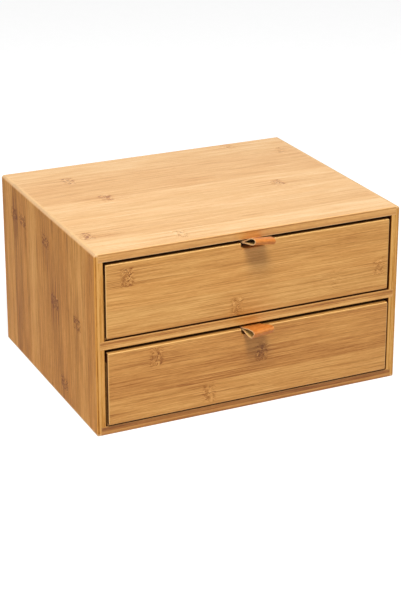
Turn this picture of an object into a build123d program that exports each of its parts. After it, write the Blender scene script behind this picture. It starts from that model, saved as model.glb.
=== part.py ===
from build123d import *
import math
import os

# A tabletop chest of two drawers in laminated bamboo, for tea bags in their
# envelopes. Lengths are in millimetres. X is the width, Z is up, and the
# drawers open towards -Y. The origin is the centre of the case's underside.

# ---- case ------------------------------------------------------------------
case_width = 300.0
case_depth = 240.0
case_height = 170.0
case_board = 8.0        # thickness of the sides, top, bottom and shelf
back_board = 4.0        # thickness of the back
housing = 4.5           # how far a board is let into the one that holds it
top_edge_round = 2.5    # upper outer edges that run from front to back
base_edge_round = 1.2   # lower outer edges that run from front to back
end_edge_round = 1.0    # outer edges round the front and the back
opening_edge_round = 0.4

# ---- drawers ---------------------------------------------------------------
front_board = 8.0
wall_board = 6.0        # left, right and back walls
base_board = 3.0
divider_board = 4.0
wall_height = 60.0
divider_height = 48.0
base_lift = 4.0         # from a wall's lower edge up to the base board
front_cover = 3.0       # front left over the ends of the side walls
wall_lap = 3.0          # how far the back wall is let into the side walls
base_housing = 3.0      # how far the base board is let in all round
divider_housing = 2.0   # how far a divider's ends are let in
column_count = 3        # compartments across one drawer
front_edge_round = 1.2
wall_edge_round = 0.8   # top edges of walls and dividers

# Gaps between a drawer and the case.
side_gap = 2.0
top_gap = 3.2           # above the front
bottom_gap = 1.5        # below the front
running_gap = 0.3       # below the walls, which slide on the board there
closing_gap = 0.5       # behind the back wall when the front is flush
lap_gap = 0.1           # each side of a divider in a crossing slot

# How far each front stands out of the case at rest.
upper_rest_out = 0.0
lower_rest_out = 2.0

# ---- leather pulls -----------------------------------------------------------
strap_width = 20.0
strap_thickness = 1.1
strap_tail = 20.0       # length of each end on the inside of the front
strap_bend = 2.8        # radius between the two layers where they turn down
layer_gap = 0.2         # between the two layers
notch_width = 22.6
notch_depth = 5.2
notch_round = 0.5

# Each loop: reach in front of the drawer, height of the fold's nose, radius
# where the two layers part, height above the notch's floor where they come
# out of it, and how far it leans up, in degrees.
upper_loop = {"reach": 25.0, "nose_height": 8.0, "parting": 15.0, "exit": 6.3, "lean": 16.0}
lower_loop = {"reach": 22.6, "nose_height": 9.0, "parting": 12.0, "exit": 5.1, "lean": 5.0}

# ---- screws that hold the pulls ---------------------------------------------
screw_spacing = 10.0
screw_drop = 12.0       # below the notch's floor
screw_radius = 1.25
screw_depth = 5.0       # length in the front board
screw_clearance = 0.1   # round the shank, in the leather and in the board
head_radius = 2.8
head_height = 1.6

# ---- places worked out from the sizes ---------------------------------------
front_y = -case_depth / 2
back_y = case_depth / 2
back_inner_y = back_y - back_board
inner_x = case_width / 2 - case_board
opening_height = (case_height - 3 * case_board) / 2
lower_floor_z = case_board
upper_floor_z = lower_floor_z + opening_height + case_board

drawer_half_width = inner_x - side_gap
drawer_length = back_inner_y - closing_gap - front_y
drawer_inner_x = drawer_half_width - wall_board
front_top = opening_height - top_gap    # these heights are above a drawer's floor
notch_floor = front_top - notch_depth
wall_top = running_gap + wall_height
base_low = running_gap + base_lift
base_high = base_low + base_board
divider_top = base_high + divider_height
column_width = (2 * drawer_inner_x - (column_count - 1) * divider_board) / column_count


def block(x, y, z):
    """A box from the low to the high end of each of three (low, high) pairs."""
    low = [min(pair) for pair in (x, y, z)]
    size = [abs(pair[1] - pair[0]) for pair in (x, y, z)]
    return Pos(*low) * Box(*size, align=(Align.MIN, Align.MIN, Align.MIN))


def edges_near(solid, axis, place, along=None):
    """A solid's edges whose middle lies at a place on an axis, and may run along another."""
    return near(solid.edges() if along is None else solid.edges().filter_by(along), axis, place)


def near(edges, axis, place):
    """The edges whose middle lies at a place on an axis."""
    return edges.filter_by_position(axis, place - 0.01, place + 0.01)


# ---- case ------------------------------------------------------------------
def case_side(direction, boards):
    """One side: rounded outside, and housed for the boards that it holds."""
    outer_x = direction * case_width / 2
    side = block((direction * inner_x, outer_x), (front_y, back_y), (0, case_height))
    for height, radius in ((case_height, top_edge_round), (0, base_edge_round)):
        side = fillet(near(edges_near(side, Axis.X, outer_x, Axis.Y), Axis.Z, height), radius)
    for end_y in (front_y, back_y):
        end_edges = edges_near(side, Axis.Y, end_y)
        inner_edge = edges_near(side, Axis.X, direction * inner_x)
        side = fillet([edge for edge in end_edges if edge not in inner_edge], end_edge_round)
    opening_edge = near(edges_near(side, Axis.X, direction * inner_x), Axis.Y, front_y)
    side = fillet(opening_edge, opening_edge_round)
    for board in boards:
        side -= board
    return side


def ease_board(board, outer_heights, opening_heights):
    """A level board with its outer edges rounded and those round an opening eased."""
    for height in outer_heights:
        board = fillet(edges_near(board, Axis.Z, height, Axis.X), end_edge_round)
    for height in opening_heights:
        front_edge = near(edges_near(board, Axis.Z, height, Axis.X), Axis.Y, front_y)
        board = fillet(front_edge, opening_edge_round)
    return board


def make_case():
    """The six boards of the case, as solids by name."""
    span_x = (-inner_x - housing, inner_x + housing)
    full_y = (front_y, back_y)
    top_low = case_height - case_board
    shelf_low = upper_floor_z - case_board
    back_z = (case_board - housing, top_low + housing)

    back = block(span_x, (back_inner_y, back_y), back_z)
    shelf = block(span_x, (front_y, back_inner_y), (shelf_low, upper_floor_z))
    top = block(span_x, full_y, (top_low, case_height))
    bottom = block(span_x, full_y, (0, case_board))
    held = (top, bottom, shelf, back)
    return {
        "left_side_panel": case_side(-1, held),
        "right_side_panel": case_side(1, held),
        "top_panel": ease_board(top, (case_height,), (top_low,)) - back,
        "bottom_panel": ease_board(bottom, (0,), (case_board,)) - back,
        "middle_shelf": ease_board(shelf, (), (shelf_low, upper_floor_z)),
        "back_panel": back,
    }


# ---- leather pull ------------------------------------------------------------
class Walk:
    """A line of straight runs and tangent bends, drawn from a start and a heading."""

    def __init__(self, start, heading):
        self.place = Vector(*start)
        self.heading = heading
        self.edges = []

    def run(self, length):
        end = self.place + Vector(length, 0).rotate(Axis.Z, self.heading)
        self.edges.append(Line(self.place, end))
        self.place = end

    def bend(self, radius, turn):
        """Turn by an angle in degrees, to the left where it is positive."""
        left = math.copysign(1, turn)
        to_centre = Vector(0, left * radius).rotate(Axis.Z, self.heading)
        centre = self.place + to_centre
        start_angle = self.heading - left * 90
        self.edges.append(CenterArc(centre, radius, start_angle, turn))
        self.place = centre - to_centre.rotate(Axis.Z, turn)
        self.heading += turn


def strap_line(loop):
    """Centre line of the folded strap, outward and up from the notch's floor.

    It goes up the inside of the front, over the notch, round the loop's nose
    and back the same way as the second layer, outside the first.
    """
    half = strap_thickness / 2
    offset = half + layer_gap / 2
    turn = 90 - loop["lean"]
    lean = math.radians(loop["lean"])
    between_x = -(front_board + half + offset)
    bend_across = strap_bend * (1 - math.cos(math.radians(turn)))
    bend_up = strap_bend * math.sin(math.radians(turn))
    throat = (-between_x - bend_across) / math.cos(lean)
    bend_start_y = loop["exit"] - throat * math.sin(lean) - bend_up

    nose = loop["nose_height"] / 2 - half
    nose_place = (loop["reach"] - loop["nose_height"] / 2) / math.cos(lean)
    parting_place = offset + loop["parting"]
    centres = math.hypot(nose_place, parting_place)
    both = loop["parting"] + nose
    spread = math.degrees(math.asin(both / centres) - math.atan2(parting_place, nose_place))
    flank = math.sqrt(centres ** 2 - both ** 2)

    tail = strap_tail + bend_start_y
    line = Walk((between_x + offset, bend_start_y - tail), 90)
    line.run(tail)
    line.bend(strap_bend - offset, -turn)
    line.run(throat)
    line.bend(loop["parting"], -spread)
    line.run(flank)
    line.bend(nose, 180 + 2 * spread)
    line.run(flank)
    line.bend(loop["parting"], -spread)
    line.run(throat)
    line.bend(strap_bend + offset, turn)
    line.run(tail)
    return line.edges


def make_pull(face_y, floor_z, loop):
    """The folded strap of one drawer, whose front stands at face_y."""
    origin = (strap_width / 2, face_y, floor_z + notch_floor)
    plane = Plane(origin=origin, x_dir=(0, -1, 0), z_dir=(-1, 0, 0))
    profile = Sketch() + trace(strap_line(loop), strap_thickness)
    return extrude(plane * profile, strap_width)


def make_screws(face_y, floor_z, extra_radius=0.0):
    """Two round-headed screws through both layers into the front, or their holes."""
    head_y = face_y + front_board + 2 * strap_thickness + layer_gap
    screw_z = floor_z + notch_floor - screw_drop
    shank_length = 2 * strap_thickness + layer_gap + screw_depth
    screws = []
    for screw_x in (-screw_spacing / 2, screw_spacing / 2):
        seat = Plane(origin=(screw_x, head_y, screw_z), z_dir=(0, 1, 0))
        shank = extrude(seat * Circle(screw_radius + extra_radius), -shank_length)
        if extra_radius > 0:
            screws.append(shank)
            continue
        head = extrude(seat * Circle(head_radius), head_height)
        head = fillet(edges_near(head, Axis.Y, head_y + head_height), head_height * 0.6)
        screws.append(head + shank)
    return screws


# ---- drawer ------------------------------------------------------------------
def make_front(face_y, floor_z):
    """The front board: rounded edges, a notch for the strap, laps for the walls."""
    z = (floor_z + bottom_gap, floor_z + front_top)
    inner_y = face_y + front_board
    front = block((-drawer_half_width, drawer_half_width), (face_y, inner_y), z)
    front = fillet(front.edges().filter_by(Axis.Y) + edges_near(front, Axis.Y, face_y), front_edge_round)
    top_edges = edges_near(front, Axis.Z, z[1], Axis.X)
    front = fillet(near(top_edges, Axis.Y, inner_y), wall_edge_round)
    notch_z = (floor_z + notch_floor, z[1])
    front -= block((-notch_width / 2, notch_width / 2), (face_y, inner_y), notch_z)
    lip = [edge for edge in edges_near(front, Axis.Y, face_y) if abs(edge.center().X) < notch_width * 0.6]
    lip = [edge for edge in lip if edge.center().Z < z[1] - front_edge_round]
    lip = [edge for edge in lip if edge.center().Z > floor_z + notch_floor - 0.01]
    front = fillet(lip, notch_round)
    lap_y = (face_y + front_cover, inner_y)
    lap_z = (z[0], floor_z + wall_top)
    for direction in (-1, 1):
        lap_x = (direction * drawer_inner_x, direction * drawer_half_width)
        front -= block(lap_x, lap_y, lap_z)
    return front


def make_dividers(front_inner_y, back_wall_y, floor_z):
    """The cross divider and the two that cross it, slotted half way into each other."""
    z = (floor_z + base_high, floor_z + divider_top)
    middle_z = sum(z) / 2
    cross_y = (front_inner_y + back_wall_y) / 2
    cross_side = divider_board / 2
    cross_span = (-drawer_inner_x - divider_housing, drawer_inner_x + divider_housing)
    cross = block(cross_span, (cross_y - cross_side, cross_y + cross_side), z)
    cross = fillet(edges_near(cross, Axis.Z, z[1], Axis.X), wall_edge_round)
    slot_y = (cross_y - cross_side - lap_gap, cross_y + cross_side + lap_gap)

    long_ones = []
    long_y = (front_inner_y - divider_housing, back_wall_y + divider_housing)
    for column in range(1, column_count):
        left = -drawer_inner_x + column * column_width + (column - 1) * divider_board
        x = (left, left + divider_board)
        slot_x = (x[0] - lap_gap, x[1] + lap_gap)
        cross -= block(slot_x, slot_y, (middle_z, z[1]))
        divider = block(x, long_y, z)
        divider = fillet(edges_near(divider, Axis.Z, z[1], Axis.Y), wall_edge_round)
        long_ones.append(divider - block(slot_x, slot_y, (z[0], middle_z + lap_gap)))
    return cross, long_ones


def make_drawer(name, floor_z, rest_out, loop):
    """All the pieces of one drawer, as solids by node name."""
    face_y = front_y - rest_out
    front_inner_y = face_y + front_board
    rear_y = face_y + drawer_length
    back_wall_y = rear_y - wall_board
    wall_z = (floor_z + running_gap, floor_z + wall_top)

    front = make_front(face_y, floor_z)
    base_x = (-drawer_inner_x - base_housing, drawer_inner_x + base_housing)
    base_y = (front_inner_y - base_housing, back_wall_y + base_housing)
    base = block(base_x, base_y, (floor_z + base_low, floor_z + base_high))
    back_x = (-drawer_inner_x - wall_lap, drawer_inner_x + wall_lap)
    back_wall = block(back_x, (back_wall_y, rear_y), wall_z)
    back_wall = fillet(edges_near(back_wall, Axis.Z, wall_z[1], Axis.X), wall_edge_round)
    cross, long_dividers = make_dividers(front_inner_y, back_wall_y, floor_z)

    pieces = {}
    for side, direction in (("left", -1), ("right", 1)):
        wall_x = (direction * drawer_inner_x, direction * drawer_half_width)
        wall = block(wall_x, (face_y + front_cover, rear_y), wall_z)
        wall = fillet(edges_near(wall, Axis.Z, wall_z[1], Axis.Y), wall_edge_round)
        pieces[f"{name}_drawer_{side}_wall"] = wall - back_wall - base - cross
    back_wall -= base
    front -= base
    for divider in long_dividers:
        back_wall -= divider
        front -= divider

    pull = make_pull(face_y, floor_z, loop)
    for hole in make_screws(face_y, floor_z, screw_clearance):
        pull -= hole
        front -= hole

    pieces[f"{name}_drawer_front"] = front
    pieces[f"{name}_drawer_back_wall"] = back_wall
    pieces[f"{name}_drawer_base"] = base
    pieces[f"{name}_cross_divider"] = cross
    for side, divider in zip(("left", "right"), long_dividers):
        pieces[f"{name}_{side}_divider"] = divider
    pieces[f"{name}_pull"] = pull
    pieces[f"{name}_pull_screws"] = Compound(make_screws(face_y, floor_z))
    return pieces


def make_chest():
    """Every piece of the chest, as solids by node name."""
    pieces = make_case()
    pieces.update(make_drawer("upper", upper_floor_z, upper_rest_out, upper_loop))
    pieces.update(make_drawer("lower", lower_floor_z, lower_rest_out, lower_loop))
    return pieces


chest = make_chest()
os.makedirs("parts", exist_ok=True)
for node, solid in chest.items():
    export_step(solid, f"parts/{node}.step")
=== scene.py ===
import bpy
import bmesh
import math
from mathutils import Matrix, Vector


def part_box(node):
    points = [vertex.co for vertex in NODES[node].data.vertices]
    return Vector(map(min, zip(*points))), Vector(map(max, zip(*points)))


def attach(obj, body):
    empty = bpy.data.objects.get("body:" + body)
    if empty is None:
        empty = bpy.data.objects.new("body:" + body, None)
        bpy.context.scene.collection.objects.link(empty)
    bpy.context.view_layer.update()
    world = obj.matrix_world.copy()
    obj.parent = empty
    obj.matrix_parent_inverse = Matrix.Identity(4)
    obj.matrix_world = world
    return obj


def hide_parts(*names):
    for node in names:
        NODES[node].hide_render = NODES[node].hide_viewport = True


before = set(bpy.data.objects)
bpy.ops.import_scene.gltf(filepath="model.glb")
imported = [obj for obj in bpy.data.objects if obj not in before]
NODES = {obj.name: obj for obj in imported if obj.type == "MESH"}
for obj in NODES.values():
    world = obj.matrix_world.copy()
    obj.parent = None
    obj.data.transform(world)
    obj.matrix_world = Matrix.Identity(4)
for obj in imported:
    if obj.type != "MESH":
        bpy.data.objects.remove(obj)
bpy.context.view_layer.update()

# The chest stands on the floor at the origin, its width along X, and its drawers
# open towards -Y. Blender's lengths are metres; the materials work in millimetres.
MM = 0.001


def srgb(red, green, blue):
    """A display colour from 0 to 255 as the linear colour that a shader takes."""
    return tuple((channel / 255) ** 2.2 for channel in (red, green, blue)) + (1.0,)


# ---- materials ---------------------------------------------------------------
class Shader:
    """A node material with a Principled shader, and short ways to add nodes."""

    def __init__(self, name):
        self.material = bpy.data.materials.new(name)
        self.material.use_nodes = True
        self.tree = self.material.node_tree
        self.surface = self.tree.nodes["Principled BSDF"]

    def add(self, kind, *inputs, **settings):
        """A node with its settings, and its inputs in order; None leaves one alone."""
        node = self.tree.nodes.new(kind)
        for name, value in settings.items():
            setattr(node, name, value)
        for socket, value in zip(node.inputs, inputs):
            self.put(socket, value)
        return node

    def put(self, socket, value):
        if value is None:
            return
        if isinstance(value, bpy.types.NodeSocket):
            self.tree.links.new(value, socket)
        else:
            socket.default_value = value

    def math(self, operation, *values):
        return self.add("ShaderNodeMath", *values, operation=operation).outputs[0]

    def place(self):
        """The point's x, y and z on the object, in millimetres."""
        point = self.add("ShaderNodeTexCoord").outputs["Object"]
        split = self.add("ShaderNodeSeparateXYZ", point)
        return [self.math("MULTIPLY", axis, 1 / MM) for axis in split.outputs]

    def point(self, x, y, z):
        return self.add("ShaderNodeCombineXYZ", x, y, z).outputs[0]

    def noise(self, point, scale=1.0, detail=2.0, roughness=0.5, distortion=0.0):
        node = self.add("ShaderNodeTexNoise", noise_dimensions="3D")
        values = {"Vector": point, "Scale": scale, "Detail": detail, "Roughness": roughness,
                  "Distortion": distortion}
        for name, value in values.items():
            self.put(node.inputs[name], value)
        return node.outputs[0]

    def hash(self, value):
        """A number from 0 to 1 that jumps with each whole number."""
        node = self.add("ShaderNodeTexWhiteNoise", noise_dimensions="1D")
        self.put(node.inputs["W"], value)
        return node.outputs[0]

    def step(self, value, low, high):
        """0 below low and 1 above high, smoothly; high may be the lower one."""
        node = self.add("ShaderNodeMapRange", value, low, high, 0.0, 1.0,
                        interpolation_type="SMOOTHSTEP")
        return node.outputs[0]

    def centred(self, value):
        """A noise or a hash, moved from 0..1 to -0.5..0.5."""
        return self.math("SUBTRACT", value, 0.5)

    def mix(self, factor, first, second, mode="MIX"):
        node = self.add("ShaderNodeMix", data_type="RGBA", blend_type=mode)
        self.put(node.inputs["Factor"], factor)
        self.put(node.inputs[6], first)
        self.put(node.inputs[7], second)
        return node.outputs[2]

    def ramp(self, value, *stops):
        node = self.add("ShaderNodeValToRGB", value)
        elements = node.color_ramp.elements
        while len(elements) < len(stops):
            elements.new(0.5)
        for element, (position, colour) in zip(elements, stops):
            element.position = position
            element.color = colour
        return node.outputs[0]

    def bump(self, height, strength, distance):
        node = self.add("ShaderNodeBump")
        for name, value in {"Strength": strength, "Distance": distance, "Height": height}.items():
            self.put(node.inputs[name], value)
        self.put(self.surface.inputs["Normal"], node.outputs[0])

    def finish(self, colour, roughness, **uniform):
        """The material; uniform holds values for the shader's other sockets."""
        self.put(self.surface.inputs["Base Color"], colour)
        self.put(self.surface.inputs["Roughness"], roughness)
        for name, value in uniform.items():
            self.surface.inputs[name.replace("_", " ")].default_value = value
        return self.material


X, Y, Z = 0, 1, 2

# Bamboo boards are made of strips glued side by side, in layers. Lengths in mm.
STRIP_WIDTH = 21.0
LAYER_HEIGHT = 2.0
LAYER_FADE = (0.3, 0.9)     # under a board's face, where the layers begin and are full
SEAM = (0.486, 0.499)       # the same from a strip's middle, over its width

# Each tone's colours, from its light fibres to the dark of a culm node.
STRIP_TONES = {
    "pale": (srgb(243, 208, 160), srgb(228, 181, 121), srgb(201, 143, 80), srgb(150, 92, 40)),
    "middle": (srgb(226, 174, 104), srgb(202, 145, 76), srgb(162, 103, 44), srgb(128, 76, 28)),
    "warm": (srgb(232, 170, 94), srgb(206, 141, 64), srgb(158, 95, 32), srgb(122, 68, 22)),
    "brown": (srgb(208, 154, 88), srgb(184, 127, 65), srgb(146, 90, 37), srgb(114, 66, 24)),
}
TONE_STOPS = (0.0, 0.36, 0.78, 1.0)
WARM_TINT = (1.0, 0.93, 0.84, 1.0)      # over the colour of the warmest bamboo
WARM_STRIP_SHARE = 0.6
WARM_PATCH_SHARE = 0.5

# How far one seed's board differs from the next one's, and one strip's fibres
# from those of the strip beside it.
SEED_ACROSS = 7.3
SEED_TONE = 13.1
STRIP_ALONG = 700.0

# Noises drawn out along the grain: the scale along it over that across it, the
# scale across it, and the detail.
DRIFT = (0.1, 0.13, 2.0)
FIBRES = (0.016, 0.62, 3.0)
FINE_FIBRES = (0.025, 1.5, 2.0)
FLECKS = (0.11, 1.7, 1.0)
CURLS = (0.4, 0.62, 1.0)
THREADS = (0.012, 1.3, 0.0)
WARM_PATCHES = (0.2, 0.09, 1.0)

# How dark plain bamboo is, from 0 to 1, and how much each part changes that.
PLAIN_LEVEL = 0.34
STRIP_SHARE = 0.3
LAYER_SHARE = 0.6
DRIFT_SHARE = 0.55
FIBRES_SHARE = 0.42
FINE_FIBRES_SHARE = 0.85
SEAM_SHARE = 0.09
CALM_EDGE = 0.75            # how much of that the sanded edges lose

# Marks on top: where a noise begins to count and where it counts in full, and
# how much darker that makes the bamboo, or lighter below 0.
DARK_FLECKS = (0.56, 0.74, 0.13)
PALE_FLECKS = (0.44, 0.28, -0.1)
DARK_THREADS = (0.6, 0.72, 0.2)
PALE_THREADS = (0.38, 0.28, -0.12)
STREAK_FIBRES = (0.38, 0.62, 0.24)
DARK_CURLS = (0.43, 0.6, 0.44)
PALE_CURLS = (0.45, 0.3, -0.14)

# Distances from a culm node's middle at which its marks begin and are full.
KNOT_ALONG = (8.0, 3.0)
KNOT_ACROSS = (10.5, 7.0)
STREAK_ALONG = (52.0, 2.0)
STREAK_ACROSS = (10.5, 7.5)
SWIRL_SCALE = (0.24, 0.3)   # along the grain and across it
PLAIN_BEND = 0.6            # how far the fibres stray sideways
KNOT_BEND = 13.0            # and how much further at a culm node

EDGE_WIDTH = (1.1, 0.2)     # from a board's edge, where its sanding and the painted highlight on it begin and are full
END_WIDTH = (2.8, 0.8)      # from the fibres' ends, where their sanding begins and is full
HIGHLIGHT_FROM = (1.0, 2.5)    # above a board's underside, whose edges get no pale tint nor painted highlight
# The edges' pale tint: partly sanding, partly a painted highlight where the edges face the light.
SANDED_EDGE_AND_HIGHLIGHT = srgb(252, 208, 132)
SANDED_END = srgb(246, 214, 170)
PAINTED_SHADE_TONE = srgb(112, 84, 74)    # painted shade on the faces inside the case and in the gaps round the drawers, over the bamboo's own colour
SHADE_SKIN = (0.7, 0.3)       # under such a face, where its painted shade begins and is full
SHADE_START = (0.1, 0.9)      # the same behind the depth from which a face has painted shade

SEAM_GROOVE = 0.4           # how deep the seams lie, over the darkest fibres
BAMBOO_BUMP = 0.06
BAMBOO_RELIEF = 0.0003      # in metres
SMOOTHEST = 0.36            # roughness of the light fibres
FIBRE_ROUGHNESS = 0.18      # and how much more that of the dark ones is


def bamboo(name, node, along, across, seed, tone="middle", gloss=0.4, contrast=1.0,
           sanded=0.12, pale_ends=0.0, inside=(), culm_nodes=()):
    """Laminated bamboo for one board: strips, fibres, flecks and culm nodes.

    The grain runs along one axis and the strips lie side by side across another;
    culm_nodes are (along, across, strength), in millimetres. inside holds the
    (axis, side, depth, share) of the faces that get painted shade, darker by that
    share, from that depth on behind the board's front. sanded says how much paler
    the board's edges are, partly from sanding and partly as a painted highlight,
    and pale_ends how much paler its fibres' ends are.
    """
    shader = Shader(name)
    math_node, step = shader.math, shader.step
    axes = shader.place()
    through = 3 - along - across
    grain, width, depth = axes[along], axes[across], axes[through]
    start, end, near = face_distances(shader, axes, node)

    # Each strip has its own tone, and its fibres don't run on in the next.
    strip_place = math_node("DIVIDE", math_node("ADD", width, SEED_ACROSS * seed), STRIP_WIDTH)
    strip = math_node("ADD", math_node("FLOOR", strip_place), SEED_TONE * seed)
    strip_tone = shader.hash(strip)
    shifted = math_node("MULTIPLY_ADD", strip_tone, STRIP_ALONG, grain)
    seam = step(math_node("ABSOLUTE", shader.centred(math_node("FRACT", strip_place))), *SEAM)

    # The layers show on the board's edges, and not on its faces.
    layer = shader.hash(math_node("FLOOR", math_node("DIVIDE", depth, LAYER_HEIGHT)))
    edge_on = step(near[through], *LAYER_FADE)
    layer = math_node("MULTIPLY_ADD", shader.centred(layer), edge_on, 0.5)

    # Round a culm's node the fibres swirl.
    knot, streak = culm_marks(shader, grain, width, culm_nodes)
    swirl_point = shader.point(math_node("MULTIPLY", grain, SWIRL_SCALE[0]),
                               math_node("MULTIPLY", width, SWIRL_SCALE[1]), depth)
    swirl = shader.centred(shader.noise(swirl_point, detail=1.0))
    bend = math_node("MULTIPLY_ADD", knot, KNOT_BEND, PLAIN_BEND)
    bent = math_node("MULTIPLY_ADD", swirl, bend, width)

    def along_grain(stretch, scale, detail):
        """Noise drawn out along the grain."""
        point = shader.point(math_node("MULTIPLY", shifted, stretch), bent, depth)
        return shader.noise(point, scale, detail)

    fibres = along_grain(*FIBRES)
    flecks = along_grain(*FLECKS)
    curls = along_grain(*CURLS)
    threads = along_grain(*THREADS)

    # How dark each point is: first what is dark and light in turn, then marks.
    level = math_node("MULTIPLY", shader.centred(strip_tone), STRIP_SHARE)
    waves = ((layer, LAYER_SHARE), (along_grain(*DRIFT), DRIFT_SHARE), (fibres, FIBRES_SHARE),
             (along_grain(*FINE_FIBRES), FINE_FIBRES_SHARE))
    for wave, share in waves:
        level = math_node("MULTIPLY_ADD", shader.centred(wave), share, level)
    everywhere = 1.0
    marks = (
        (flecks, DARK_FLECKS, everywhere),
        (flecks, PALE_FLECKS, everywhere),
        (threads, DARK_THREADS, everywhere),
        (threads, PALE_THREADS, everywhere),
        (fibres, STREAK_FIBRES, streak),
        (curls, DARK_CURLS, knot),
        (curls, PALE_CURLS, knot),
    )
    for pattern, (begins, full, share), mask in marks:
        mark = math_node("MULTIPLY", mask, step(pattern, begins, full))
        level = math_node("MULTIPLY_ADD", mark, share, level)
    level = math_node("MULTIPLY_ADD", seam, SEAM_SHARE, level)

    # Sanding leaves the edges and the ends of the fibres smooth and pale; the edges' paleness is
    # partly a painted highlight.
    edge = edge_mask(shader, near)
    end_grain = math_node("MULTIPLY", step(near[along], *END_WIDTH), pale_ends)
    calm = math_node("MAXIMUM", edge, end_grain)
    strength = math_node("MULTIPLY_ADD", calm, -CALM_EDGE * contrast, contrast)
    level = math_node("ADD", math_node("MULTIPLY", level, strength), PLAIN_LEVEL)

    # A board's edges show the plies, which are alike in the top and the sides.
    colour = tone_ramp(shader, level, tone)
    if tone in ("pale", "warm"):
        colour = shader.mix(edge_on, colour, tone_ramp(shader, level, "middle"))
    warm_strip = shader.hash(math_node("ADD", strip, 0.5))
    warmth = math_node("MULTIPLY", warm_strip, WARM_STRIP_SHARE)
    warmth = math_node("MULTIPLY_ADD", along_grain(*WARM_PATCHES), WARM_PATCH_SHARE, warmth)
    colour = shader.mix(warmth, colour, WARM_TINT, "MULTIPLY")
    # Painted highlight, with the sanding's pale tint, along the edges but not along those of the
    # underside.
    highlight_edge = math_node("MULTIPLY", edge, step(start[Z], *HIGHLIGHT_FROM))
    colour = shader.mix(math_node("MULTIPLY", highlight_edge, sanded), colour, SANDED_EDGE_AND_HIGHLIGHT)
    colour = shader.mix(end_grain, colour, SANDED_END)
    # Painted shade on the faces inside the case and in the gaps round the drawers, darker by each
    # face's share.
    for axis, side, depth_start, share in inside:
        under = (start if side < 0 else end)[axis]
        face = math_node("MULTIPLY", step(under, *SHADE_SKIN), share)
        behind = step(start[Y], *(depth_start + fade for fade in SHADE_START))
        colour = shader.mix(math_node("MULTIPLY", face, behind), colour, PAINTED_SHADE_TONE, "MULTIPLY")

    groove = math_node("MULTIPLY", seam, -SEAM_GROOVE)
    height = math_node("MULTIPLY_ADD", level, -1.0, groove)
    shader.bump(height, strength=BAMBOO_BUMP, distance=BAMBOO_RELIEF)
    roughness = math_node("MULTIPLY_ADD", fibres, FIBRE_ROUGHNESS, SMOOTHEST)
    return shader.finish(colour, roughness, Specular_IOR_Level=gloss)


def culm_marks(shader, grain, width, culm_nodes):
    """Masks of the culm nodes' dark curls, and of the streaks that run out from them."""
    knot = 0.0
    streak = 0.0
    for node_along, node_across, strength in culm_nodes:
        reach = shader.math("ABSOLUTE", shader.math("SUBTRACT", grain, node_along))
        side = shader.math("ABSOLUTE", shader.math("SUBTRACT", width, node_across))
        close = shader.math("MULTIPLY", shader.step(reach, *KNOT_ALONG),
                            shader.step(side, *KNOT_ACROSS))
        far = shader.math("MULTIPLY", shader.step(reach, *STREAK_ALONG),
                          shader.step(side, *STREAK_ACROSS))
        knot = shader.math("MAXIMUM", knot, shader.math("MULTIPLY", close, strength))
        streak = shader.math("MAXIMUM", streak, shader.math("MULTIPLY", far, strength))
    return knot, streak


def face_distances(shader, axes, node):
    """A point's distances from its board's low faces, its high faces and the nearer of the two."""
    low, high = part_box(node)
    start = [shader.math("SUBTRACT", axis, place / MM) for axis, place in zip(axes, low)]
    end = [shader.math("SUBTRACT", place / MM, axis) for axis, place in zip(axes, high)]
    return start, end, [shader.math("MINIMUM", first, second) for first, second in zip(start, end)]


def tone_ramp(shader, level, tone):
    """Bamboo's colours from its light fibres to the dark of a culm node."""
    return shader.ramp(level, *zip(TONE_STOPS, STRIP_TONES[tone]))


def edge_mask(shader, near):
    """1 along the board's edges, where a second face is close by."""
    smaller = shader.math("MINIMUM", near[0], near[1])
    larger = shader.math("MAXIMUM", near[0], near[1])
    second = shader.math("MAXIMUM", smaller, shader.math("MINIMUM", larger, near[2]))
    return shader.step(second, *EDGE_WIDTH)


# Painted shade on a strap where it runs into the notch: from that far in front of the drawer and that
# far below the top of its front it begins, and from the second on it is full.
NOTCH_SHADE_AHEAD = (9.0, 2.0)
NOTCH_SHADE_BELOW = (0.1, 0.7)
# The colour of that painted shade.
NOTCH_SHADE_LEATHER = srgb(64, 24, 14)
# Painted shade on the flesh side where it faces down.
SHADED_FLESH = srgb(44, 24, 14)
SHADE_FACING_DOWN = (0.15, -0.35)     # the normal's upward part, where the painted shade begins and is full


def leather_outside(name):
    """Smooth tan leather: a fine pebble, uneven dye, and painted shade where it runs into the notch.
    """
    shader = Shader(f"{name}_leather_outside")
    x, y, z = shader.place()
    point = shader.point(x, y, z)
    cloud = shader.noise(point, scale=0.25, detail=3.0)
    pebble = shader.add("ShaderNodeTexVoronoi", point, feature="F1")
    pebble.inputs["Scale"].default_value = 2.6
    grain = shader.noise(point, scale=3.5, detail=2.0)
    dye = ((0.3, srgb(190, 108, 42)), (0.55, srgb(208, 126, 54)), (0.8, srgb(222, 140, 66)))
    colour = shader.ramp(cloud, *dye)
    low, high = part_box(f"{name}_drawer_front")
    # Painted shade on the strap where it runs into the notch.
    shade_ahead = shader.step(y, *(low[Y] / MM - ahead for ahead in NOTCH_SHADE_AHEAD))
    shade_below = shader.step(z, *(high[Z] / MM - below for below in NOTCH_SHADE_BELOW))
    colour = shader.mix(shader.math("MULTIPLY", shade_ahead, shade_below), colour, NOTCH_SHADE_LEATHER)
    height = shader.math("ADD", pebble.outputs["Distance"], grain)
    shader.bump(height, strength=0.25, distance=0.0002)
    roughness = shader.math("MULTIPLY_ADD", grain, 0.2, 0.4)
    return shader.finish(colour, roughness, Specular_IOR_Level=0.35)


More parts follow.
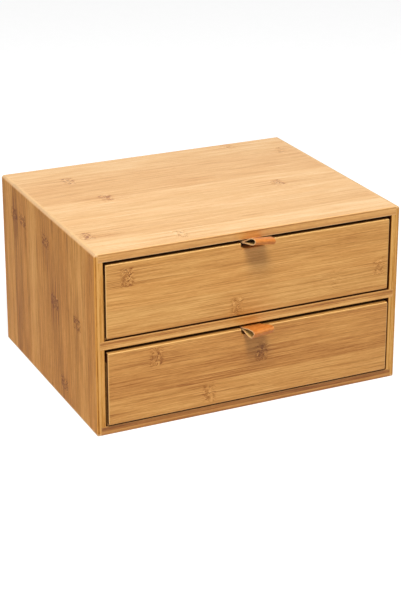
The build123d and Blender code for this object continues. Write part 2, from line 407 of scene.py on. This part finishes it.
def leather_inside():
    """The flesh side: ochre, matt and fibrous, with painted shade where it faces down."""
    shader = Shader("leather_inside")
    point = shader.point(*shader.place())
    nap = shader.noise(point, scale=2.5, detail=4.0, roughness=0.7)
    colour = shader.ramp(nap, (0.3, srgb(226, 166, 84)), (0.7, srgb(252, 206, 124)))
    normal = shader.add("ShaderNodeNewGeometry").outputs["Normal"]
    upward = shader.add("ShaderNodeSeparateXYZ", normal).outputs["Z"]
    # Painted shade on the faces that point down.
    colour = shader.mix(shader.step(upward, *SHADE_FACING_DOWN), colour, SHADED_FLESH)
    shader.bump(nap, strength=0.5, distance=0.0002)
    return shader.finish(colour, roughness=0.9)


def leather_edge():
    """The cut edge: pale, with a few darker fibres."""
    shader = Shader("leather_edge")
    point = shader.point(*shader.place())
    fibres = shader.noise(point, scale=3.0, detail=3.0, roughness=0.7)
    colour = shader.ramp(fibres, (0.3, srgb(198, 150, 98)), (0.7, srgb(228, 186, 134)))
    shader.bump(fibres, strength=0.3, distance=0.0001)
    return shader.finish(colour, roughness=0.8)


def screw_metal():
    """Plated steel with fine turning marks."""
    shader = Shader("screw_metal")
    point = shader.point(*shader.place())
    marks = shader.noise(point, scale=4.0, detail=3.0)
    colour = shader.ramp(marks, (0.3, srgb(176, 170, 158)), (0.7, srgb(208, 203, 192)))
    shader.bump(marks, strength=0.1, distance=0.00005)
    roughness = shader.math("MULTIPLY_ADD", marks, 0.2, 0.22)
    return shader.finish(colour, roughness, Metallic=1.0)


# The culm nodes that show in the photograph: place along the grain, place across
# it, in mm, and strength. Those of the unseen boards are a guess.
TOP_NODES = ((-98, 75, 1.0), (-84, 14, 1.0), (-138, -74, 1.0), (-62, -103, 1.0), (80, -13, 1.0),
             (87, 112, 0.6), (130, 79, 0.5))
LEFT_SIDE_NODES = ((141, 86, 0.9), (142, 62, 0.8), (142, 1, 0.9), (90, -20, 1.0), (90, -76, 1.0),
                   (18, -40, 1.0))
RIGHT_SIDE_NODES = ((124, 70, 0.7), (41, 30, 0.9), (95, -35, 0.8), (21, -82, 0.7))
UPPER_FRONT_NODES = ((-120, 145, 1.0), (-15, 99, 0.9), (130, 114, 0.5), (85, 110, 0.2))
LOWER_FRONT_NODES = ((-94, 67, 0.9), (9, 53, 0.75), (-43, 22, 0.8))

# The faces with painted shade, of the case's boards and of a front: axis, side of the board,
# depth behind the board's front in mm, and share.
UNDER_FACE = (Z, -1, 0, 1)
UPPER_FACE = (Z, 1, 0, 1)
FRONT_ENDS = ((X, -1, 0, 1), (X, 1, 0, 1))
FRONT_TOP_SHADE_SHARE = 0.75

# Name, seed, depth behind the front from which its top face has painted shade, and culm
# nodes. The lower front stands 2 mm out, and its top face has no painted shade that far and 1 mm more.
DRAWERS = (("upper", 10, 1, UPPER_FRONT_NODES), ("lower", 30, 3, LOWER_FRONT_NODES))


def dress(node, material):
    """Gives a CAD node its finish."""
    mesh = NODES[node].data
    mesh.materials.clear()
    mesh.materials.append(material)


def dress_board(node, along, across, seed, **finish):
    dress(node, bamboo(f"bamboo_{node}", node, along, across, seed, **finish))


def dress_case():
    """The sides' grain is upright, and that of the other boards runs across."""
    dress_board("top_panel", X, Y, 1, tone="pale", gloss=0.6, inside=(UNDER_FACE,),
                culm_nodes=TOP_NODES)
    # The bottom board's darker brown tone is partly painted shade, for its edge near the floor.
    dress_board("bottom_panel", X, Y, 2, tone="brown", inside=(UPPER_FACE,))
    dress_board("middle_shelf", X, Y, 3, contrast=1.2, inside=(UNDER_FACE, UPPER_FACE))
    dress_board("back_panel", X, Z, 4)
    sides = (("left", 5, 1, LEFT_SIDE_NODES), ("right", 6, -1, RIGHT_SIDE_NODES))
    for name, seed, inner, nodes in sides:
        dress_board(f"{name}_side_panel", Z, Y, seed, tone="warm", gloss=0.05, contrast=1.25,
                    pale_ends=0.5, inside=((X, inner, 0, 1),), culm_nodes=nodes)


def dress_drawer(name, seed, shade_depth, nodes):
    # The front's ends, underside and top face behind that depth get painted shade.
    shaded_faces = (*FRONT_ENDS, UNDER_FACE, (Z, 1, shade_depth, FRONT_TOP_SHADE_SHARE))
    dress_board(f"{name}_drawer_front", X, Z, seed, sanded=0.75, inside=shaded_faces,
                culm_nodes=nodes)
    dress_board(f"{name}_drawer_base", X, Y, seed + 1, tone="pale")
    dress_board(f"{name}_drawer_back_wall", X, Z, seed + 2)
    dress_board(f"{name}_cross_divider", X, Z, seed + 3)
    for step, side in enumerate(("left", "right")):
        dress_board(f"{name}_drawer_{side}_wall", Y, Z, seed + 4 + step)
        dress_board(f"{name}_{side}_divider", Y, Z, seed + 6 + step)


# ---- leather pulls -----------------------------------------------------------
# In mm, as in the part.
STRAP_WIDTH = 20.0
STRAP_THICKNESS = 1.1
NOTCH_DEPTH = 5.2
STRAP_STEP = 0.7        # between two sections of a strap
SECTION_PARTS = 5       # in half a strap's width
SECTION_FLAT = 0.975    # share of its width that is flat
EDGE_ROUND = (0.07, 0.28)       # of the cut edges, across the strap and through it
TWIST_START = 0.0       # in front of the drawer, where a loop starts to twist
TWIST_END = 22.0
SPAN_PARTS = 24         # of the smooth line between two points

# The slots of a strap's three leathers.
OUTSIDE, INSIDE, EDGE = 0, 1, 2

# The outer face of each strap: forward of the drawer's front and up from the
# notch's floor, in mm. It comes up behind the front, goes out through the
# notch and round the loop, and comes back on top of itself. twist is how far the
# loop's right edge ends up lower, in mm.
STRAPS = {
    "upper": {
        "line": ((-8.0, -20.0), (-8.0, -9.0), (-8.0, 1.5), (-7.6, 2.6), (-6.8, 3.1), (-3.6, 4.1),
                 (-0.6, 5.0), (3.6, 5.9), (9.0, 6.9), (15.3, 7.6), (20.0, 8.9), (23.7, 11.1),
                 (25.0, 13.6), (23.7, 15.1), (20.0, 15.3), (15.3, 14.3), (9.0, 11.4), (0.5, 7.6),
                 (-3.6, 6.5), (-7.5, 5.4), (-9.6, 3.9), (-10.4, 1.5), (-10.4, -9.0), (-10.4, -20.0)),
        "twist": 1.0,
    },
    "lower": {
        "line": ((-8.0, -20.0), (-8.0, -9.0), (-8.0, 1.7), (-7.5, 2.8), (-6.6, 3.3), (-3.0, 3.5),
                 (1.1, 3.7), (6.5, 2.8), (11.9, 2.2), (16.5, 3.3), (20.4, 6.5), (22.5, 9.6),
                 (21.6, 11.1), (18.0, 11.5), (10.3, 9.9), (1.1, 6.9), (-3.0, 6.0), (-6.8, 5.7),
                 (-9.3, 4.4), (-10.4, 1.7), (-10.4, -9.0), (-10.4, -20.0)),
        "twist": -1.0,
    },
}


def smooth_line(points):
    """Points STRAP_STEP apart on a smooth line through the given ones."""
    ends = [points[0] * 2 - points[1]] + points + [points[-1] * 2 - points[-2]]
    dense = []
    for before, start, end, after in zip(ends, ends[1:], ends[2:], ends[3:]):
        # Centripetal Catmull-Rom: its knots are the square roots of the distances.
        knots = [0.0]
        for first, second in ((before, start), (start, end), (end, after)):
            knots.append(knots[-1] + math.sqrt((second - first).length))
        for part in range(SPAN_PARTS):
            at = knots[1] + (knots[2] - knots[1]) * part / SPAN_PARTS
            level = [before, start, end, after]
            for span in (1, 2, 3):
                level = [
                    blend_points(level[i], level[i + 1], at, *catmull_knots(knots, i, span))
                    for i in range(len(level) - 1)
                ]
            dense.append(level[0])
    dense.append(points[-1])
    even = [dense[0]]
    for point in dense[1:]:
        if (point - even[-1]).length >= STRAP_STEP:
            even.append(point)
    return even


def catmull_knots(knots, index, span):
    """The two knots between which a level of the Catmull-Rom line is blended."""
    return (knots[index + (1 if span == 3 else 0)], knots[index + (2 if span == 3 else span)])


def blend_points(first, second, at, start, end):
    return first * ((end - at) / (end - start)) + second * ((at - start) / (end - start))


def strap_section():
    """The strap's section: places across it, depths under its outer face, and slots."""
    half = STRAP_WIDTH / 2
    low = -STRAP_THICKNESS
    small, large = EDGE_ROUND
    across = [half * part / SECTION_PARTS * SECTION_FLAT
              for part in range(-SECTION_PARTS, SECTION_PARTS + 1)]
    corner = ((half - small, -small), (half, -large), (half, low + large), (half - small, low + small))
    section = [(x, 0.0, OUTSIDE) for x in across]
    section[-1] = (across[-1], 0.0, EDGE)
    section += [(x, y, EDGE) for x, y in corner]
    section += [(x, low, INSIDE) for x in reversed(across)]
    section[-1] = (across[0], low, EDGE)
    section += [(-x, y, EDGE) for x, y in reversed(corner)]
    return section


def ease(value, start, end):
    """0 before start, 1 after end, and smooth between."""
    part = min(max((value - start) / (end - start), 0.0), 1.0)
    return part * part * (3 - 2 * part)


def make_strap(name):
    """One pull: a folded leather strap, smooth side out, with pale cut edges."""
    leather = (leather_outside(name), LEATHER_INSIDE, LEATHER_EDGE)
    shape = STRAPS[name]
    low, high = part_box(f"{name}_drawer_front")
    face_y, notch_z = low[Y], high[Z] - NOTCH_DEPTH * MM
    line = smooth_line([Vector(point) for point in shape["line"]])
    section = strap_section()
    mesh = bmesh.new()
    rings = []
    for index, point in enumerate(line):
        heading = (line[min(index + 1, len(line) - 1)] - line[max(index - 1, 0)]).normalized()
        outward = Vector((heading.y, -heading.x))
        ring = []
        for x, inward, _ in section:
            place = point + outward * inward
            twist = shape["twist"] * ease(place.x, TWIST_START, TWIST_END)
            rise = place.y - twist * x / (STRAP_WIDTH / 2)
            ring.append(mesh.verts.new((x * MM, face_y - place.x * MM, notch_z + rise * MM)))
        rings.append(ring)
    count = len(section)
    for ring, following in zip(rings, rings[1:]):
        for i in range(count):
            j = (i + 1) % count
            face = mesh.faces.new((ring[i], ring[j], following[j], following[i]))
            face.material_index = section[i][2]
    for ring in (rings[0], rings[-1]):
        mesh.faces.new(ring).material_index = EDGE
    bmesh.ops.recalc_face_normals(mesh, faces=mesh.faces)
    for face in mesh.faces:
        face.smooth = True
    strap = add_mesh(f"{name}_leather_loop", mesh, leather)
    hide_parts(f"{name}_pull")
    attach(strap, f"{name}_drawer")


def add_mesh(name, mesh, materials):
    data = bpy.data.meshes.new(name)
    mesh.to_mesh(data)
    mesh.free()
    for material in materials:
        data.materials.append(material)
    piece = bpy.data.objects.new(name, data)
    bpy.context.scene.collection.objects.link(piece)
    return piece


# ---- screws ------------------------------------------------------------------
SCREW_SPACING = 10.0    # in mm, as in the part
SCREW_SIDES = 40
# Half section of a screw: radius, and place along it from the head's seat.
SCREW_PROFILE = ((0.0, 1.6), (0.9, 1.58), (1.6, 1.42), (2.2, 1.1), (2.62, 0.62), (2.8, 0.15),
                 (2.75, 0.0), (1.25, 0.0), (1.25, -6.2), (0.9, -6.9), (0.0, -7.4))
RECESS_LENGTH = 1.35    # of each arm of the cross recess
RECESS_HALF_WIDTH = 0.32
RECESS_DEPTH = 1.0
RECESS_TAPER = 0.55     # its size at the bottom over that at the top
CUTTER_RISE = 0.5       # of the cutter over the head
MERGE_DISTANCE = 0.001  # between points on the screw's axis that become one
SHARP_ANGLE = 35        # degrees between two faces that meet in a sharp edge


def lathe(mesh, profile, centre):
    """A turned form about the Y axis."""
    columns = []
    for step in range(SCREW_SIDES):
        angle = math.tau * step / SCREW_SIDES
        column = []
        for radius, along in profile:
            place = (radius * math.sin(angle), along, radius * math.cos(angle))
            column.append(mesh.verts.new(centre + Vector(place) * MM))
        columns.append(column)
    for step, column in enumerate(columns):
        following = columns[(step + 1) % SCREW_SIDES]
        for i in range(len(profile) - 1):
            mesh.faces.new((column[i], column[i + 1], following[i + 1], following[i]))
    bmesh.ops.remove_doubles(mesh, verts=mesh.verts, dist=MERGE_DISTANCE * MM)


def cross_cutter(centre):
    """The cross recess: two bars that narrow towards their bottom."""
    mesh = bmesh.new()
    head = SCREW_PROFILE[0][1]
    for across, along in ((X, Z), (Z, X)):
        bar = bmesh.ops.create_cube(mesh, size=2.0)["verts"]
        for vert in bar:
            at_bottom = vert.co.y < 0
            narrow = RECESS_TAPER if at_bottom else 1.0
            place = Vector((0, 0, 0))
            place[across] = vert.co[across] * RECESS_HALF_WIDTH * narrow
            place[along] = vert.co[along] * RECESS_LENGTH * narrow
            place[Y] = head + (-RECESS_DEPTH if at_bottom else CUTTER_RISE)
            vert.co = centre + place * MM
    return mesh


def make_screws(name):
    """The two pan head screws of one pull, with cross recesses."""
    low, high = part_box(f"{name}_pull_screws")
    seat_y = high[Y] - SCREW_PROFILE[0][1] * MM
    centre_z = (low[Z] + high[Z]) / 2
    screws = bmesh.new()
    for direction in (-1, 1):
        centre = Vector((direction * SCREW_SPACING / 2 * MM, seat_y, centre_z))
        turned = bmesh.new()
        lathe(turned, SCREW_PROFILE, centre)
        bmesh.ops.recalc_face_normals(turned, faces=turned.faces)
        body = add_mesh("screw_body", turned, ())
        cutters = cross_cutter(centre)
        bmesh.ops.recalc_face_normals(cutters, faces=cutters.faces)
        cutter = add_mesh("screw_cutter", cutters, ())
        cut = body.modifiers.new("recess", "BOOLEAN")
        cut.operation = "DIFFERENCE"
        cut.use_self = True
        cut.object = cutter
        depsgraph = bpy.context.evaluated_depsgraph_get()
        screws.from_mesh(body.evaluated_get(depsgraph).data)
        for spare in (body, cutter):
            bpy.data.meshes.remove(spare.data)
    piece = add_mesh(f"{name}_pan_head_screws", screws, (METAL,))
    piece.data.shade_smooth()
    piece.data.set_sharp_from_angle(angle=math.radians(SHARP_ANGLE))
    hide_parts(f"{name}_pull_screws")
    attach(piece, f"{name}_drawer")


# ---- stage -------------------------------------------------------------------
CAMERA_PLACE = (-0.6385, -1.3776, 0.6824)
CAMERA_YAW = 25.05      # degrees to the right of straight on
CAMERA_PITCH = 19.33    # degrees down
CAMERA_LENS = 102.4
CAMERA_SHIFT = -0.15    # the photograph's upright edges hardly converge

# Each lamp's place, side and power. All point at the chest's middle.
LAMPS = {
    "key": ((-0.40, -1.31, 1.93), 0.7, 39),
    "overhead": ((0.0, 0.1, 2.2), 1.5, 11),
    "left_fill": ((-2.0, -0.6, 1.2), 1.5, 10),
}
LAMP_TARGET = (0, 0, 0.08)
WORLD_LIGHT = 0.25

FLOOR_HALF_SIZE = 8.0
FLOOR_COLOURS = ((0.3, (0.6, 0.6, 0.6, 1.0)), (0.7, (0.62, 0.62, 0.62, 1.0)))
FLOOR_GLOW = 0.62       # what the camera sees of the floor over its lit colour
FAR_FLOOR_GLOW = 0.86   # the same far from the lamps
FAR_FLOOR = (1200.0, 4500.0)    # in mm from the chest, where that begins and is full


def make_camera():
    camera = bpy.data.objects.new("camera", bpy.data.cameras.new("camera"))
    camera.location = CAMERA_PLACE
    camera.rotation_euler = (math.radians(90 - CAMERA_PITCH), 0, math.radians(-CAMERA_YAW))
    camera.data.lens = CAMERA_LENS
    camera.data.sensor_width = 36
    camera.data.shift_y = CAMERA_SHIFT
    bpy.context.scene.collection.objects.link(camera)
    bpy.context.scene.camera = camera


def make_floor():
    mesh = bpy.data.meshes.new("floor")
    corners = [(x * FLOOR_HALF_SIZE, y * FLOOR_HALF_SIZE, 0)
               for x, y in ((-1, -1), (1, -1), (1, 1), (-1, 1))]
    mesh.from_pydata(corners, [], [(0, 1, 2, 3)])
    floor = bpy.data.objects.new("floor", mesh)
    bpy.context.scene.collection.objects.link(floor)
    mesh.materials.append(floor_paper())


def make_lamp(name, place, size, power):
    lamp = bpy.data.lights.new(name, "AREA")
    lamp.shape = "SQUARE"
    lamp.size = size
    lamp.energy = power
    holder = bpy.data.objects.new(name, lamp)
    holder.location = place
    direction = Vector(LAMP_TARGET) - Vector(place)
    holder.rotation_euler = direction.to_track_quat("-Z", "Y").to_euler()
    bpy.context.scene.collection.objects.link(holder)


def white_to_eye(tree, plain, shown):
    """A socket: shown for camera, glossy and transmitted rays, and plain for the rest."""
    path = tree.nodes.new("ShaderNodeLightPath")
    seen = path.outputs["Is Camera Ray"]
    for output in ("Is Glossy Ray", "Is Transmission Ray"):
        join = tree.nodes.new("ShaderNodeMath")
        join.operation = "MAXIMUM"
        tree.links.new(seen, join.inputs[0])
        tree.links.new(path.outputs[output], join.inputs[1])
        seen = join.outputs[0]
    choice = tree.nodes.new("ShaderNodeMapRange")
    choice.inputs["To Min"].default_value = plain
    choice.inputs["To Max"].default_value = shown
    tree.links.new(seen, choice.inputs["Value"])
    return choice.outputs[0]


def make_world():
    """Even white light; what the camera and gloss see of it is plain white."""
    world = bpy.data.worlds.new("studio")
    bpy.context.scene.world = world
    world.use_nodes = True
    background = world.node_tree.nodes["Background"]
    background.inputs["Color"].default_value = (1.0, 1.0, 1.0, 1.0)
    strength = white_to_eye(world.node_tree, WORLD_LIGHT, 1.0)
    world.node_tree.links.new(strength, background.inputs["Strength"])


def floor_paper():
    """The white sweep that the chest stands on; it keeps the chest's shadow."""
    shader = Shader("floor_paper")
    x, y, z = shader.place()
    fibre = shader.noise(shader.point(x, y, z), scale=0.05, detail=2.0)
    colour = shader.ramp(fibre, *FLOOR_COLOURS)
    squares = [shader.math("POWER", axis, 2.0) for axis in (x, y)]
    away = shader.math("SQRT", shader.math("ADD", *squares))
    glow = shader.math("MULTIPLY_ADD", shader.step(away, *FAR_FLOOR),
                       FAR_FLOOR_GLOW - FLOOR_GLOW, FLOOR_GLOW)
    seen = shader.math("MULTIPLY", white_to_eye(shader.tree, 0.0, 1.0), glow)
    shader.surface.inputs["Emission Color"].default_value = (1.0, 1.0, 1.0, 1.0)
    shader.put(shader.surface.inputs["Emission Strength"], seen)
    return shader.finish(colour, roughness=0.9, Specular_IOR_Level=0.0)


def make_stage():
    make_camera()
    make_floor()
    make_world()
    for name, (place, size, power) in LAMPS.items():
        make_lamp(name, place, size, power)
    bpy.context.scene.view_settings.view_transform = "Standard"


LEATHER_INSIDE = leather_inside()
LEATHER_EDGE = leather_edge()
METAL = screw_metal()
dress_case()
for drawer in DRAWERS:
    dress_drawer(*drawer)
for drawer in STRAPS:
    make_strap(drawer)
    make_screws(drawer)
make_stage()
